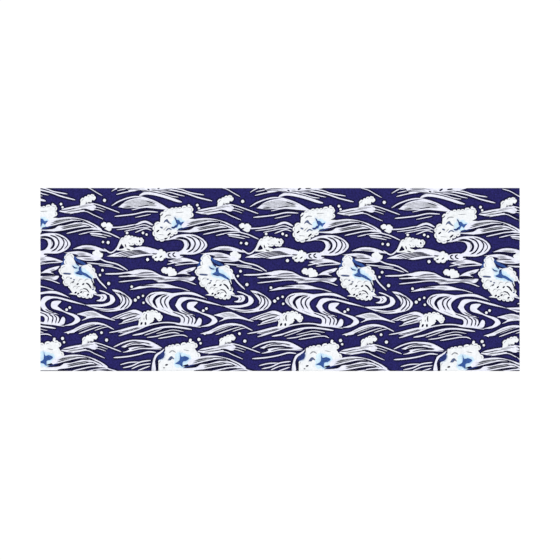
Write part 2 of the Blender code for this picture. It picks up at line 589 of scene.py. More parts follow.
def left_streams(b):
    """The streams left of the double crest, with their knob of foam."""
    b.body("white", (315, 117), (339, 109), (363, 111), (385, 121), (360, 118), (334, 116))
    b.fan(1.2, ((331, 113), (358, 113)), ((338, 116), (361, 116)), 2, dye="shade")
    b.gap(3.0, (319, 118), (341, 120), (361, 118), ends=(7, 7), tip=(0.2, 0.2))
    b.body("white", (300, 123), (331, 120), (353, 125), (372, 136), (341, 138), (321, 131), (329, 128))
    b.fan(0.7, ((326, 123), (343, 123)), ((327, 129), (347, 130)), 3, stagger=0.1)
    b.gap(1.5, (320, 131), (354, 130), ends=(6, 6))
    b.fan(0.8, ((335, 133), (357, 132)), ((341, 137), (361, 137)), 2)
    b.foam((357, 127), (360, 120), (371, 121), (377, 127), (368, 132, 0), (361, 131, 0), echo=False)
    b.gap(2.0, (372, 122), (382, 125), ends=(3, 5), tip=(0.6, 0.2))
    b.white(3.1, (360, 128), (381, 139), (405, 145), (425, 156), ends=(6, 8))
    b.gap(2.8, (333, 140), (375, 141), ends=(10, 7), tip=(0.1, 0.2))
    b.white(2.8, (346, 142), (397, 147), ends=(8, 10))
    b.gap(1.0, (371, 145), (407, 151), ends=(10, 10))
    b.white(2.5, (369, 147), (397, 150), (417, 156), ends=(10, 8))


def right_streams(b):
    """The short streams under the knot."""
    b.body("white", (238, 137), (261, 130), (282, 133), (304, 142), (279, 139), (256, 142))
    b.fan(0.6, ((245, 134), (265, 131)), ((245, 139), (267, 137)), 3, stagger=0.1)
    b.gap(1.5, (255, 140), (287, 138), ends=(8, 8))
    b.white(2.5, (237, 143), (255, 139), (272, 136), ends=(5, 10))
    b.white(2.5, (252, 145), (274, 142), (296, 141), ends=(5, 8))


def long_band(b):
    """The long flat band of streams across the repeat's middle."""
    b.body("white", (420, 163), (440, 155), (470, 156), (492, 166), (525, 169), (557, 169), (551, 176), (528, 175),
           (500, 175), (486, 178), (468, 171), (434, 171))
    b.white(3.5, (382, 163), (412, 162), (448, 156), ends=(8, 12))
    b.gap(1.4, (446, 162), (460, 160), (478, 161), ends=(9, 9))
    b.gap(3.2, (409, 165), (422, 164), (436, 164), ends=(8, 12), tip=(0.2, 0.1))
    b.gap(1.0, (434, 164), (462, 163), (486, 166), ends=(9, 9))
    b.gap(1.0, (438, 167), (460, 166), (480, 167), ends=(9, 9))
    b.white(2.8, (408, 168), (428, 167), (448, 165), ends=(7, 10))
    b.gap(3.4, (412, 173), (432, 170), (460, 171), (498, 171), ends=(9, 14), tip=(0.3, 0.1))
    b.white(2.7, (408, 178), (436, 175), (466, 172), (500, 174), ends=(8, 12))
    b.gap(1.0, (474, 175), (502, 173), (546, 173), ends=(10, 10))
    b.gap(0.9, (500, 177), (524, 175), (548, 176))
    b.gap(0.9, (522, 171), (550, 170))
    b.white(2.6, (484, 178), (504, 176), (522, 174), ends=(8, 10))
    b.white(2.6, (527, 174), (542, 177), (558, 183), ends=(10, 7))
    b.body("white", (520, 164), (530, 157), (558, 150), (552, 157), (541, 161), (548, 165), (532, 164))
    b.gap(4.0, (518, 166), (534, 165), (551, 168), ends=(6, 8), tip=(0.2, 0.2))
    b.gap(1.0, (538, 159), (549, 156))


def band_foam(b):
    """The knob of foam that stands on the long band."""
    b.foam((492, 159), (492, 153), (502, 153), (513, 153), (518, 157), (519, 166, 0), (505, 168, 0), (503, 162), (497, 161), echo=False)
    b.gap(2.2, (499, 164), (503, 164), ends=(3, 2), tip=(0.4, 0.6))


def low_band(b):
    """The short band of streams under the long one."""
    b.body("white", (450, 185), (471, 182), (497, 181), (521, 187), (546, 195), (523, 190), (494, 190), (470, 188), (449, 191), (428, 193))
    b.gap(1.3, (449, 186), (462, 185), (478, 184), ends=(8, 8))
    b.fan(1.1, ((479, 183), (488, 183), (498, 184)), ((479, 189), (488, 189), (498, 188)), 2, dye="shade")
    b.white(2.2, (511, 186), (530, 190), (546, 195), ends=(8, 8))


def double_crest(b):
    """The two-headed crest at the repeat's heart."""
    b.line("sea", 4.2, (304, 126), (302, 137), (295, 149), ends=(5, 7), tip=(0.4, 0.2))
    b.line("sea", 4.8, (317, 129), (327, 137), (344, 146), ends=(6, 8), tip=(0.4, 0.2))
    b.foam((303, 136), (304, 128), (313, 125), (320, 134, 0), (325, 144, 0), (336, 147, 0), (346, 145), (356, 151), (361, 160), (363, 171, 0),
           (358, 171, 0), (360, 180, 0), (356, 184), (361, 194, 0), (366, 200, 0), (355, 199),
           (356, 207), (342, 207), (326, 203, 0), (310, 201, 0), (317, 198, 0), (311, 190), (311, 183), (300, 182), (302, 174),
           (297, 167), (302, 163), (292, 161), (294, 152), (305, 147))
    b.white(3.4, (360, 160), (369, 175), (384, 190), ends=(6, 9))
    b.line("slate", 3.2, (300, 162), (315, 163), ends=(3, 4), tip=(0.8, 0.3))
    b.foam((321, 146), (331, 150), (345, 158), (357, 170), (343, 170), (323, 165), (324, 155), dye="halo", lobe=8, echo=False)
    b.body("blue", (322, 161), (330, 156), (331, 149), (334, 151), (336, 158), (346, 163), (356, 173), (348, 170), (338, 165), (328, 164))
    b.line("navy", 1.9, (317, 147), (321, 151), (327, 152), ends=(4, 3), tip=(0.2, 0.6))
    b.line("navy", 2.2, (324, 142), (330, 148), ends=(3, 3), tip=(0.4, 0.5))
    b.line("navy", 2.4, (335, 149), (331, 152), (331, 156), ends=(3, 4), tip=(0.4, 0.7))
    b.line("navy", 1.5, (324, 162), (336, 165), ends=(3, 3))
    b.line("navy", 1.6, (350, 167), (356, 173), ends=(3, 3))
    b.gap(1.8, (354, 173), (358, 181), (360, 190), ends=(4, 5), tip=(0.4, 0.3))
    for x, y in ((338, 182), (318, 178), (327, 182), (323, 198), (328, 200), (334, 197), (347, 202)):
        b.gap(2.6, (x - 1, y + 1), (x + 2, y - 1), ends=(1, 1), tip=(0.8, 0.8))
    for x, y in ((320, 174), (314, 171), (357, 192)):
        b.line("slate", 2.0, (x - 1, y), (x + 2, y), ends=(1, 1), tip=(0.8, 0.8))
    b.gap(1.8, (338, 190), (345, 192), (350, 198), ends=(4, 4), tip=(0.4, 0.4))
    b.gap(2.6, (344, 180), (349, 183), (354, 190), ends=(3, 3), tip=(0.4, 0.5))
    for x, y in ((318, 190), (325, 191), (331, 196), (337, 200), (313, 182), (329, 177), (341, 177), (304, 173)):
        b.line("shade", 0.9, (x, y), (x + 3, y - 4), (x + 8, y - 4), ends=(4, 4))


def spiral(b):
    """The spiral of water on the right of the double crest, open to the left."""
    b.body("white", (354, 198), (369, 201), (381, 201), (385, 207), (381, 213), (372, 215), (363, 213), (371, 210), (372, 205), (364, 201))
    b.gap(1.0, (374, 203), (378, 207), (374, 212), ends=(4, 4))
    b.white(2.8, (346, 196), (358, 200), (373, 205), ends=(6, 8))
    b.white(3.0, (370, 194), (380, 197), (394, 204), ends=(4, 6))
    b.body("white", (386, 199), (396, 203), (401, 211), (397, 218), (380, 224), (358, 224), (340, 221), (358, 220), (378, 219), (390, 214), (390, 205))
    b.body("white", (394, 192), (406, 193), (424, 203), (434, 214), (427, 226), (408, 232), (384, 234), (362, 229), (350, 223),
           (366, 226), (390, 228), (407, 223), (411, 213), (403, 201))
    b.gap(1.5, (399, 196), (411, 202), (415, 211), (408, 224), ends=(6, 6))
    b.gap(2.2, (406, 196), (420, 207), (421, 217), (411, 228), ends=(9, 5), tip=(0.1, 0.5))
    b.gap(1.7, (415, 199), (427, 211), (427, 219), (419, 228), ends=(9, 5), tip=(0.1, 0.5))
    b.gap(1.0, (362, 229), (382, 231), (402, 229), ends=(8, 8))
    b.white(2.4, (346, 222), (360, 226), (384, 230), ends=(6, 10))


def meander(b):
    """The nested hooks of water at the repeat's left: two sets of C shapes that interlock."""
    b.body("white", (247, 197), (224, 194), (202, 198), (194, 210), (212, 226), (245, 239), (262, 244), (262, 252),
           (252, 255), (280, 259), (301, 257), (303, 246), (298, 243), (291, 254), (291, 244), (268, 234), (247, 229),
           (240, 214), (252, 203), (281, 200), (313, 208), (285, 195))
    b.body("dark", (238, 198), (215, 202), (208, 213), (218, 225), (214, 211), (224, 203))
    b.gap(2.4, (237, 200), (226, 206), (224, 214), (230, 226), ends=(7, 8), tip=(0.2, 0.1))
    b.gap(2.2, (241, 202), (234, 208), (232, 215), (238, 226), ends=(7, 8), tip=(0.2, 0.1))
    b.gap(1.3, (214, 197), (203, 203), (201, 212), (207, 221), ends=(8, 8))
    b.gap(1.0, (206, 199), (198, 206), (198, 213), ends=(6, 6))
    b.line("shade", 0.8, (226, 227), (244, 235), ends=(8, 8))
    b.body("white", (252, 220), (261, 206), (284, 205), (315, 212), (346, 222), (318, 217), (279, 209), (264, 218),
           (270, 229), (291, 239), (262, 232))
    b.body("white", (288, 223), (301, 232), (327, 241), (333, 250), (318, 259), (299, 260), (317, 254), (322, 247),
           (301, 235), (276, 226), (277, 215), (296, 214))
    b.gap(1.6, (247, 232), (257, 236), (268, 240), ends=(4, 5))
    b.gap(1.5, (254, 231), (267, 235), (276, 238), ends=(4, 5))
    b.gap(1.4, (264, 229), (274, 234), (284, 236), ends=(4, 5))
    b.gap(1.8, (262, 238), (270, 244), (269, 254), ends=(5, 5))
    b.gap(2.0, (271, 238), (279, 244), (277, 256), ends=(5, 5))
    b.gap(1.8, (280, 239), (286, 245), (284, 256), ends=(5, 5))
    b.gap(2.0, (289, 241), (293, 247), (289, 256), ends=(4, 3))


def lower_leaf(b):
    """The two short bundles right of the meander."""
    b.body("white", (325, 238), (344, 233), (358, 232), (374, 239), (397, 249), (374, 245), (358, 243), (338, 249), (344, 244), (334, 241))
    b.fan(1.0, ((336, 237), (350, 234), (366, 237)), ((342, 244), (354, 241), (374, 243)), 3, dye="shade")
    b.white(2.7, (336, 250), (350, 245), (374, 244), (400, 250), ends=(7, 7))
    b.body("white", (300, 273), (318, 267), (338, 257), (357, 253), (374, 255), (398, 267), (380, 260), (366, 258), (350, 263),
           (334, 269), (316, 274))
    b.fan(1.0, ((318, 268), (338, 260), (356, 256)), ((326, 271), (344, 264), (364, 257)), 2, dye="shade")
    b.gap(1.2, (322, 272), (342, 264), (362, 257), ends=(8, 7))
    b.white(2.6, (330, 275), (352, 267), (376, 260), ends=(7, 10))
    b.gap(1.1, (342, 273), (360, 266), (380, 260), ends=(8, 6))
    b.white(2.2, (361, 269), (376, 264), (386, 262), ends=(6, 7))
    b.dot(309, 273, 2.8)
    b.white(2.8, (376, 256), (386, 261), (398, 267), ends=(8, 7))


def hook(b):
    """The hooked crest at the foot of the repeat, with the streams that run up into it."""
    b.body("white", (395, 248), (414, 239), (430, 231), (442, 230), (456, 238), (446, 247), (430, 251), (412, 256), (418, 249), (404, 247))
    b.white(2.6, (392, 247), (414, 238), (436, 231), ends=(7, 12))
    b.gap(1.2, (400, 246), (418, 238), (436, 234), ends=(8, 8))
    b.gap(1.3, (404, 248), (422, 241), (438, 237), (450, 240), ends=(8, 8))
    b.line("shade", 1.2, (420, 244), (436, 239), (446, 240), ends=(5, 5))
    b.gap(2.4, (408, 253), (426, 246), (444, 241), ends=(8, 8))
    b.gap(1.2, (414, 255), (430, 250), (446, 245), ends=(8, 8))
    b.white(2.2, (408, 257), (426, 253), (448, 248), ends=(6, 8))
    b.foam((453, 241), (461, 234), (477, 232), (490, 239), (492, 247), (484, 251, 0), (480, 246, 0), (477, 252, 0), (470, 255, 0), (463, 261, 0),
           (445, 261, 0), (447, 252), (450, 246))
    b.gap(3.0, (477, 245), (479, 249), (475, 252), ends=(2, 3), tip=(0.5, 0.4))
    b.gap(1.8, (462, 238), (461, 244), (462, 249), ends=(3, 3), tip=(0.5, 0.5))
    b.gap(3.4, (453, 254), (451, 258), ends=(2, 2), tip=(0.8, 0.7))
    b.gap(3.4, (460, 254), (460, 258), ends=(2, 2), tip=(0.8, 0.8))
    b.line("shade", 1.4, (457, 245), (457, 249), ends=(2, 2))
    b.gap(1.8, (470, 255), (484, 253), ends=(4, 6))


def foot_streams(b):
    """The streams of the next row's fan, which run out from under the hook."""
    b.body("white", (406, 272), (423, 265), (445, 260), (468, 257), (450, 264), (434, 270), (418, 275))
    b.white(2.8, (389, 273), (406, 270), (428, 264), (445, 260), ends=(7, 12))
    b.fan(1.1, ((408, 272), (428, 267), (446, 262)), ((412, 275), (432, 270), (450, 264)), 2, ends=(8, 8))
    b.white(3.0, (408, 279), (428, 273), (446, 267), (463, 260), (480, 256), (504, 254), (530, 257), (567, 263), ends=(8, 20))
    b.gap(2.4, (470, 263), (485, 258), (504, 257), (530, 261), (550, 264), ends=(12, 16), swell=0.3)
    b.white(3.4, (435, 278), (456, 274), (476, 267), (494, 263), (513, 262), (531, 264), (550, 267), ends=(8, 10), swell=0.2)
    b.gap(1.2, (454, 276), (470, 271), (482, 267), ends=(7, 7))
    b.white(2.2, (458, 278), (476, 272), (494, 265), ends=(6, 10))
    b.gap(2.2, (480, 272), (497, 268), (513, 266), (539, 269), ends=(8, 10))
    b.white(2.0, (481, 275), (498, 271), (513, 268), (534, 271), ends=(6, 10))
    b.gap(1.6, (490, 275), (508, 271), (526, 272), ends=(8, 8))
    b.white(2.6, (463, 282), (480, 280), (499, 275), (517, 273), (526, 275), ends=(8, 8))
    b.gap(1.6, (483, 282), (499, 278), (512, 277), ends=(8, 6))
    b.white(2.6, (485, 284), (504, 281), (521, 278), (535, 278), (542, 281), ends=(7, 6))


def lower_row_leaf(b):
    """The second row's leaf, which hangs more open than the first row's."""
    b.body("white", (412, 300), (424, 294), (441, 289), (462, 289), (478, 295), (492, 302), (468, 303), (444, 304), (418, 310), (428, 304))
    b.white(3.0, (398, 300), (416, 292), (432, 288), (449, 288), (467, 290), (492, 302), ends=(9, 12), swell=0.1)
    b.gap(1.7, (415, 296), (432, 291), (449, 291), (470, 294), ends=(6, 8))
    b.gap(1.3, (422, 298), (438, 293), (454, 294), ends=(6, 6))
    b.gap(1.8, (420, 301), (436, 297), (462, 297), ends=(6, 8))
    b.gap(2.2, (411, 306), (430, 300), (450, 298), (476, 300), ends=(8, 10))
    b.gap(1.5, (432, 305), (452, 301), (474, 301), ends=(6, 8))
    b.line("shade", 1.0, (456, 292), (470, 296), ends=(5, 5))
    b.white(2.6, (416, 310), (432, 307), (450, 303), (468, 303), (490, 304), ends=(8, 12))
    b.white(3.2, (398, 320), (423, 318), (446, 314), (466, 309), (480, 310), ends=(8, 9))
    b.white(2.8, (411, 333), (428, 329), (446, 328), ends=(8, 10))
    b.white(3.0, (416, 339), (434, 335), (450, 328), (470, 325), ends=(8, 6))
    b.white(2.8, (433, 341), (450, 334), (470, 331), ends=(6, 6))
    b.white(2.8, (445, 344), (456, 340), (468, 336), ends=(7, 5))


def lower_row_crest(b):
    """The second row's big crest, with a long outer arc on its left."""
    b.body("white", (471, 346), (473, 330), (479, 314), (489, 308), (498, 302), (492, 311), (484, 316), (479, 326), (480, 346))
    b.foam((485, 346, 0), (485, 332), (490, 323), (497, 320), (498, 308, 0), (498, 302), (510, 297), (528, 297), (540, 293), (556, 292),
           (560, 301, 0), (556, 303, 0), (561, 310), (565, 320, 0), (565, 346, 0))
    b.body("navy", (490, 311), (496, 308), (496, 319), (486, 324), (483, 320))
    b.gap(4.4, (483, 325), (483, 334), (482, 346), ends=(5, 2), tip=(0.5, 0.9))
    b.line("shade", 2.0, (506, 311), (512, 307), (519, 310), ends=(4, 4), tip=(0.4, 0.4))
    b.body("slate", (503, 325), (507, 319), (511, 317), (517, 324), (512, 322), (509, 325))
    b.gap(2.6, (499, 334), (503, 333), ends=(1, 1), tip=(0.8, 0.8))
    b.gap(1.6, (494, 339), (498, 339), ends=(2, 2))
    b.line("navy", 1.6, (528, 312), (527, 318), ends=(3, 3))
    b.foam((520, 312), (534, 312), (548, 319), (545, 328), (534, 338), (517, 335), dye="halo", lobe=8, echo=False)
    b.body("blue", (527, 310), (530, 318), (537, 317), (545, 321), (540, 326), (533, 328), (532, 337), (526, 333), (518, 331), (526, 325))
    b.line("shade", 1.2, (534, 305), (545, 307), ends=(4, 4))
    b.gap(3.0, (532, 336), (546, 333), (562, 328), ends=(7, 6), tip=(0.2, 0.9))
    b.white(2.0, (538, 339), (557, 335))
    b.dot(547, 289, 3.0)


def first_row(b):
    top_fan(b)
    curl(b)
    crest_back(b)
    small_foam(b)
    leaf(b)
    streams(b)
    big_crest(b)
    eye(b)
    left_streams(b)
    ghost_tail(b)
    ghost_crest(b)
    knot(b)
    right_streams(b)
    long_band(b)
    band_foam(b)
    low_band(b)
    meander(b)
    spiral(b)
    double_crest(b)
    lower_leaf(b)
    foot_streams(b)
    hook(b)
    b.white(2.2, (336, -2), (350, 2), (364, 10), (375, 16), ends=(6, 6))
    drops(b, *ROW_DROPS, *SEA_DROPS)


def second_row(b):
    curl(b)
    b.move = tuple(m + s for m, s in zip(b.move, BACK_SHIFT))
    crest_back(b)


def draw(length=900.0, width=343.0):
    b = Brush(length, width)
    for copy in range(-2, 3):
        dx, dy = copy * REPEAT[0], copy * REPEAT[1]
        b.move = (dx, dy)
        b.hand.seed(HAND_SEED)
        first_row(b)
    for copy in range(-2, 3):
        dx, dy = copy * REPEAT[0], copy * REPEAT[1]
        b.move = (dx + ROW[0], dy + ROW[1])
        b.hand.seed(HAND_SEED)
        second_row(b)
        b.move = (dx, dy)
        lower_row_leaf(b)
        lower_row_crest(b)
        drops(b, *LOW_DROPS)
    return b.pools + b.shapes


# The cloth's mesh

def cloth_rows():
    """The rows of points along the cloth: close together over the selvedges, even between them."""
    edge = [0.0, 0.08, 0.26, SELVEDGE_WIDTH - 0.5, SELVEDGE_WIDTH]
    count = round((WIDTH - 2 * SELVEDGE_WIDTH) / GRID)
    step = (WIDTH - 2 * SELVEDGE_WIDTH) / count
    inner = [SELVEDGE_WIDTH + step * i for i in range(1, count)]
    return edge + inner + [WIDTH - y for y in reversed(edge)]


def grid_points():
    """The even points over the cloth that let it bend."""
    columns = round((RIGHT - LEFT) / GRID)
    return [(LEFT + (RIGHT - LEFT) * i / columns, y) for y in cloth_rows() for i in range(columns + 1)]


def wash_points(blues):
    """Closer points around the blue shadows, where the dye fades out over the foam."""
    spots = set()
    for ring in blues:
        low = np.ceil((ring.min(axis=0) - WASH_REACH) / WASH_STEP).astype(int)
        high = np.floor((ring.max(axis=0) + WASH_REACH) / WASH_STEP).astype(int)
        box = np.array([(i, j) for i in range(low[0], high[0] + 1) for j in range(low[1], high[1] + 1)])
        gap = np.linalg.norm(box[:, None] * WASH_STEP - ring[None], axis=2).min(axis=1)
        spots |= {(int(i), int(j)) for i, j in box[gap < WASH_REACH]}
    points = [((i + WASH_SHIFT * (j % 2)) * WASH_STEP, j * WASH_STEP) for i, j in sorted(spots)]
    return [(x, y) for x, y in points if LEFT + 1 < x < RIGHT - 1 and 1 < y < WIDTH - 1]


def triangulate(points, edges):
    """Triangles over all the points that keep every edge: their corners and corner numbers."""
    flat = [Vector(p) for p in points]
    corners, _, triangles, *_ = delaunay_2d_cdt(flat, edges, [], 0, WELD, False)
    return np.array([tuple(c) for c in corners]), np.array(triangles)


def outline_edges(shapes):
    """Every outline's points, kept within the cloth, and the edges that join them."""
    points = []
    edges = []
    for _, ring in shapes:
        first = len(points)
        points += [(min(RIGHT, max(LEFT, x)), min(WIDTH, max(0.0, y))) for x, y in ring]
        edges += [(first + i, first + (i + 1) % len(ring)) for i in range(len(ring))]
    return points, edges


def paint(corners, triangles, shapes):
    """The dye of each triangle, as its place in DYES. Later shapes lie over earlier ones."""
    names = list(DYES)
    middle = corners[triangles].mean(axis=1)
    dye = np.zeros(len(triangles), int)
    for name, ring in shapes:
        ring = np.array(ring)
        inside = ((middle >= ring.min(axis=0)) & (middle <= ring.max(axis=0))).all(axis=1)
        near = np.nonzero(inside)[0]
        x, y = middle[near].T
        turns = np.zeros(len(near), int)
        for (x0, y0), (x1, y1) in zip(ring, np.roll(ring, -1, axis=0)):
            side = (x1 - x0) * (y - y0) - (x - x0) * (y1 - y0)
            turns += (y0 <= y) & (y1 > y) & (side > 0)
            turns -= (y0 > y) & (y1 <= y) & (side < 0)
        dye[near[turns != 0]] = names.index(name)
    return dye


def edge_sides(triangles):
    """Each edge of the triangles once, with the triangles on its two sides, or -1 past the rim."""
    sides = np.concatenate([triangles[:, [0, 1]], triangles[:, [1, 2]], triangles[:, [2, 0]]])
    owner = np.tile(np.arange(len(triangles)), 3)
    keys = np.sort(sides, axis=1)
    order = np.lexsort((keys[:, 1], keys[:, 0]))
    keys, sides, owner = keys[order], sides[order], owner[order]
    same = (keys[1:] == keys[:-1]).all(axis=1)
    first = np.concatenate([[True], ~same])
    other = np.full(len(keys), -1)
    other[:-1][same] = owner[1:][same]
    return sides[first], owner[first], other[first]


def cut_pattern(shapes):
    """The cloth seen flat: triangles that follow the visible outlines, and the dye of each."""
    points, edges = outline_edges(shapes)
    corners, triangles = triangulate(points + grid_points(), edges)
    dye = paint(corners, triangles, shapes)
    sides, here, there = edge_sides(triangles)
    seen = sides[(there >= 0) & (dye[here] != dye[there])]
    used, seen = np.unique(seen, return_inverse=True)
    points = [tuple(p) for p in corners[used]]
    blues = [np.array(ring) for name, ring in shapes if name in ("blue", "navy")]
    extra = grid_points() + wash_points(blues)
    corners, triangles = triangulate(points + extra, seen.reshape(-1, 2).tolist())
    return corners, triangles, paint(corners, triangles, shapes), blues


def lift(x, y):
    """How far the cloth's middle stands off the surface, in long low waves."""
    swell = 0.5 + 0.5 * np.sin(x / 61.0 + 1.3 * np.sin(y / 83.0))
    cross = 0.5 + 0.5 * np.sin(y / 47.0 + 0.9 * np.sin(x / 140.0 + 2.0))
    return SELVEDGE_THICKNESS / 2 + LIFT * swell * cross


def half_thickness(y):
    """Half the cloth's thickness: the selvedges are thicker and have a rounded edge."""
    from_edge = np.minimum(y, WIDTH - y)
    flat = np.clip((SELVEDGE_WIDTH - from_edge) / 0.5, 0, 1)
    half = (CLOTH_THICKNESS + (SELVEDGE_THICKNESS - CLOTH_THICKNESS) * flat) / 2
    round_part = np.clip(1 - from_edge / (SELVEDGE_THICKNESS / 2), 0, 1)
    return half * np.maximum(np.sqrt(1 - round_part ** 2), 0.12)


def to_frame(x, y, z):
    """A point of the flat cloth, in its own millimetres, as a place in the frame, in metres."""
    return np.column_stack([LOW.x + x * MM, HIGH.y - y * MM, LOW.z + z * MM])


def washed(corners, blues):
    """How strongly the blue has run into the foam at each corner, from 0 to 1."""
    amount = np.zeros(len(corners))
    for ring in blues:
        low, high = ring.min(axis=0) - WASH_REACH, ring.max(axis=0) + WASH_REACH
        near = np.nonzero(((corners >= low) & (corners <= high)).all(axis=1))[0]
        gap = np.linalg.norm(corners[near, None] - ring[None], axis=2).min(axis=1)
        amount[near] = np.maximum(amount[near], WASH * np.exp(-(gap / WASH_FADE) ** 2))
    return amount


def corner_colours(triangles, dye, wash):
    """The dye as a colour at each corner of each face."""
    linear = np.array([DYES[name] for name in DYES])[dye]
    colour = np.repeat(linear[:, None, :], 3, axis=1)
    names = list(DYES)
    foam = np.isin(dye, [names.index("foam"), names.index("halo"), names.index("shade")])
    share = (wash[triangles] * foam[:, None])[:, :, None]
    colour = colour * (1 - share) + np.array(DYES["wash"]) * share
    return colour


def cloth_mesh(shapes):
    """The whole towel: its face, its underside with the same dye, and the rim between them."""
    corners, triangles, dye, blues = cut_pattern(shapes)
    x, y = corners.T
    middle, half = lift(x, y), half_thickness(y)
    face = to_frame(x, y, middle + half)
    under = to_frame(x, y, middle - half)
    count = len(corners)
    sides, here, there = edge_sides(triangles)
    rim = sides[there < 0]
    rim_dye = dye[here[there < 0]]
    top = triangles[:, ::-1]
    bottom = triangles + count
    wall_a = np.column_stack([rim[:, 1], rim[:, 0], rim[:, 0] + count])[:, ::-1]
    wall_b = np.column_stack([rim[:, 1], rim[:, 0] + count, rim[:, 1] + count])[:, ::-1]
    faces = np.concatenate([top, bottom, wall_a, wall_b])
    mesh = bpy.data.meshes.new("dyed_cloth")
    mesh.from_pydata(np.concatenate([face, under]).tolist(), [], faces.tolist())
    wash = np.tile(washed(corners, blues), 2)
    all_dye = np.concatenate([dye, dye, rim_dye, rim_dye])
    colour = corner_colours(faces, all_dye, wash)
    layer = mesh.color_attributes.new("dye", "FLOAT_COLOR", "CORNER")
    rgba = np.ones((len(faces) * 3, 4))
    rgba[:, :3] = colour.reshape(-1, 3)
    layer.data.foreach_set("color", rgba.ravel())
    mesh.shade_smooth()
    mesh.set_sharp_from_angle(angle=SHARP_ANGLE)
    mesh.update()
    return mesh, corners, triangles, dye


def add_object(name, mesh, material):
    obj = bpy.data.objects.new(name, mesh)
    obj.data.materials.append(material)
    bpy.context.scene.collection.objects.link(obj)
    return obj


# The loose yarns at the two cut ends

def end_dyes(corners, triangles, dye, x):
    """The dye along a cut end, as (from, to, dye) stretches of y."""
    touching = np.abs(corners[triangles][:, :, 0] - x) < 1e-3
    stretches = []
    for triangle, ends in zip(np.nonzero(touching.sum(axis=1) == 2)[0], touching[touching.sum(axis=1) == 2]):
        ys = corners[triangles[triangle]][ends][:, 1]
        stretches.append((ys.min(), ys.max(), dye[triangle]))
    return stretches


def yarn_end(points, radius, vertices, faces):
    """A short yarn with four sides that thins to its tip."""
    rings = []
    for step, (x, y, z) in enumerate(points):
        thin = radius * (1 - 0.55 * step / (len(points) - 1))
        ring = []
        for side in range(4):
            turn = math.pi / 4 + math.pi / 2 * side
            ring.append(len(vertices))
            vertices.append((x, y + thin * math.cos(turn), z + thin * math.sin(turn)))
        rings.append(ring)
    for low, high in zip(rings, rings[1:]):
        for side in range(4):
            after = (side + 1) % 4
            faces.append((low[side], low[after], high[after], high[side]))
    faces.append(tuple(reversed(rings[0])))
    faces.append(tuple(rings[-1]))


def frayed_ends(corners, triangles, dye):
    """Warp yarns that stand a little past each cut end."""
    chance = random.Random(SEED)
    names = list(DYES)
    vertices, faces, colours = [], [], []
    for x, out in ((LEFT, -1), (RIGHT, 1)):
        stretches = sorted(end_dyes(corners, triangles, dye, x))
        count = int((WIDTH - 2) / YARN_PITCH)
        at = 0
        for i in range(count):
            y = 1 + YARN_PITCH * (i + 0.5)
            length = FRINGE * chance.uniform(0.25, 0.98)
            sideways = chance.uniform(-0.25, 0.25)
            droop = chance.uniform(0.2, 0.9)
            while at < len(stretches) - 1 and stretches[at][1] < y:
                at += 1
            middle = float(lift(x, y))
            points = []
            for step in range(4):
                along = step / 3
                px = x + out * (length * along - 0.12)
                pz = middle * (1 - droop * along) + YARN_RADIUS * droop * along
                points.append((px, y + sideways * along ** 2, max(pz, YARN_RADIUS)))
            before = len(faces)
            yarn_end(points, YARN_RADIUS, vertices, faces)
            colours += [DYES[names[stretches[at][2]]]] * (len(faces) - before)
    place = to_frame(*np.array(vertices).T)
    mesh = bpy.data.meshes.new("cut_end_yarns")
    mesh.from_pydata(place.tolist(), [], faces)
    shape = bmesh.new()
    shape.from_mesh(mesh)
    bmesh.ops.recalc_face_normals(shape, faces=shape.faces)
    shape.to_mesh(mesh)
    shape.free()
    layer = mesh.color_attributes.new("dye", "FLOAT_COLOR", "CORNER")
    rgba = np.ones((len(mesh.loops), 4))
    rgba[:, :3] = np.repeat(np.array(colours), 4, axis=0)
    layer.data.foreach_set("color", rgba.ravel())
    mesh.shade_smooth()
    mesh.update()
    return mesh


# Cotton

class Nodes:
    """A short way to add nodes and their links to a material."""

    def __init__(self, material):
        material.use_nodes = True
        self.tree = material.node_tree

    def add(self, kind, **values):
        node = self.tree.nodes.new(kind)
        for name, value in values.items():
            setattr(node, name, value)
        return node

    def feed(self, socket, source):
        if isinstance(source, (int, float)):
            socket.default_value = source
        else:
            self.tree.links.new(source, socket)

    def math(self, operation, a, b=0.0):
        node = self.add("ShaderNodeMath", operation=operation)
        self.feed(node.inputs[0], a)
        self.feed(node.inputs[1], b)
        return node.outputs[0]

    def noise(self, vector, scale, detail=2.0):
        node = self.add("ShaderNodeTexNoise")
        self.tree.links.new(vector, node.inputs["Vector"])
        node.inputs["Scale"].default_value = scale
        node.inputs["Detail"].default_value = detail
        return node.outputs["Fac"]


def plain_weave(nodes, across, along):
    """The height and the yarn tone of plain weave: each yarn goes over one and under the next."""
    u = nodes.math("DIVIDE", along, YARN_PITCH * MM)
    v = nodes.math("DIVIDE", across, YARN_PITCH * MM)

    def yarn(across_yarn, along_yarn, flip):
        place = nodes.math("SUBTRACT", nodes.math("FRACT", across_yarn), 0.5)
        crown = nodes.math("SQRT", nodes.math("MAXIMUM", nodes.math("SUBTRACT", 0.26, nodes.math("MULTIPLY", place, place)), 0.0))
        number = nodes.math("FLOOR", across_yarn)
        phase = nodes.math("ADD", nodes.math("SUBTRACT", along_yarn, 0.5), nodes.math("ADD", number, flip))
        wave = nodes.math("COSINE", nodes.math("MULTIPLY", phase, math.pi))
        height = nodes.math("ADD", crown, nodes.math("MULTIPLY", wave, 0.22))
        white = nodes.add("ShaderNodeTexWhiteNoise", noise_dimensions="1D")
        nodes.feed(white.inputs["W"], nodes.math("ADD", number, 71.0 * flip))
        return height, white.outputs["Value"]

    warp_height, warp_tone = yarn(v, u, 0.0)
    weft_height, weft_tone = yarn(u, v, 1.0)
    height = nodes.math("MAXIMUM", warp_height, weft_height)
    over = nodes.math("GREATER_THAN", warp_height, weft_height)
    tone = nodes.add("ShaderNodeMix")
    nodes.feed(tone.inputs["Factor"], over)
    nodes.feed(tone.inputs["A"], weft_tone)
    nodes.feed(tone.inputs["B"], warp_tone)
    return height, tone.outputs["Result"]


